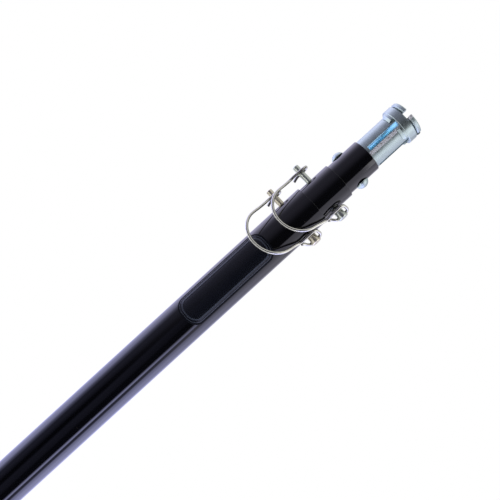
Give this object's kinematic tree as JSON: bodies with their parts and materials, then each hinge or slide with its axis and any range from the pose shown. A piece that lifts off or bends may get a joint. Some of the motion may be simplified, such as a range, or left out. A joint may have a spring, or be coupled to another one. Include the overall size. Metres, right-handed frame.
{
  "type": "telescopic roller pole",
  "caption": "Telescopic steel roller pole: nested tubes locked by pins with snap-wire bails, and a slotted tool socket with a sliding collar at the tip.",
  "frame": {"origin": "centre of the butt cap's end face", "axes": "+Z along the pole to the tip; front with the nameplate and the wire bails faces -Y; lock pins lie along X with their heads at +X"},
  "size_m": [0.0644, 0.0512, 0.8195],
  "materials": {
    "black_paint": "semi-gloss black powder coat on steel tube",
    "grip_rubber": "matt moulded rubber",
    "cap_plastic": "moulded, slightly textured",
    "plate_plastic": "satin moulded, raised border lines",
    "tape": "adhesive film",
    "zinc_plate": "bright blue zinc plate over turned steel",
    "zinc_yellow": "zinc plate with a faint yellow passivate",
    "spring_steel": "drawn spring wire, zinc plated, warm grey",
    "bush_plastic": "moulded acetal",
    "rivet_aluminium": "flush, smooth"
  },
  "bodies": {
    "outer": {"outer_tube": "black_paint", "hand_grip": "grip_rubber", "butt_cap": "cap_plastic", "nameplate": "plate_plastic", "nameplate_tape": "tape"},
    "middle": {"middle_tube": "black_paint", "middle_guide_bush": "bush_plastic", "middle_bush_rivets": "rivet_aluminium"},
    "inner": {"inner_tube": "black_paint", "adapter_sleeve": "zinc_plate", "adapter_rivet": "zinc_plate", "inner_guide_bush": "bush_plastic", "inner_bush_rivets": "rivet_aluminium"},
    "lower_clip": {"lower_lock_pin": "zinc_yellow", "lower_lock_wire": "spring_steel"},
    "upper_clip": {"upper_lock_pin": "zinc_plate", "upper_lock_wire": "spring_steel"},
    "collar": {"lock_collar": "zinc_plate"}
  },
  "joints": [
    {"name": "middle_slide", "type": "slide", "parent": "outer", "child": "middle", "axis": [0, 0, 1], "range_m": [0, 0.576]},
    {"name": "inner_slide", "type": "slide", "parent": "middle", "child": "inner", "axis": [0, 0, 1], "range_m": [0, 0.576]},
    {"name": "lower_clip_swing", "type": "hinge", "parent": "outer", "child": "lower_clip", "pos_m": [0, 0, 0.6855], "axis": [-1, 0, 0], "range_deg": [-6, 30]},
    {"name": "upper_clip_swing", "type": "hinge", "parent": "middle", "child": "upper_clip", "pos_m": [0, 0, 0.7175], "axis": [-1, 0, 0], "range_deg": [0, 120]},
    {"name": "collar_slide", "type": "slide", "parent": "inner", "child": "collar", "axis": [0, 0, 1], "range_m": [-0.03, 0.001]}
  ]
}
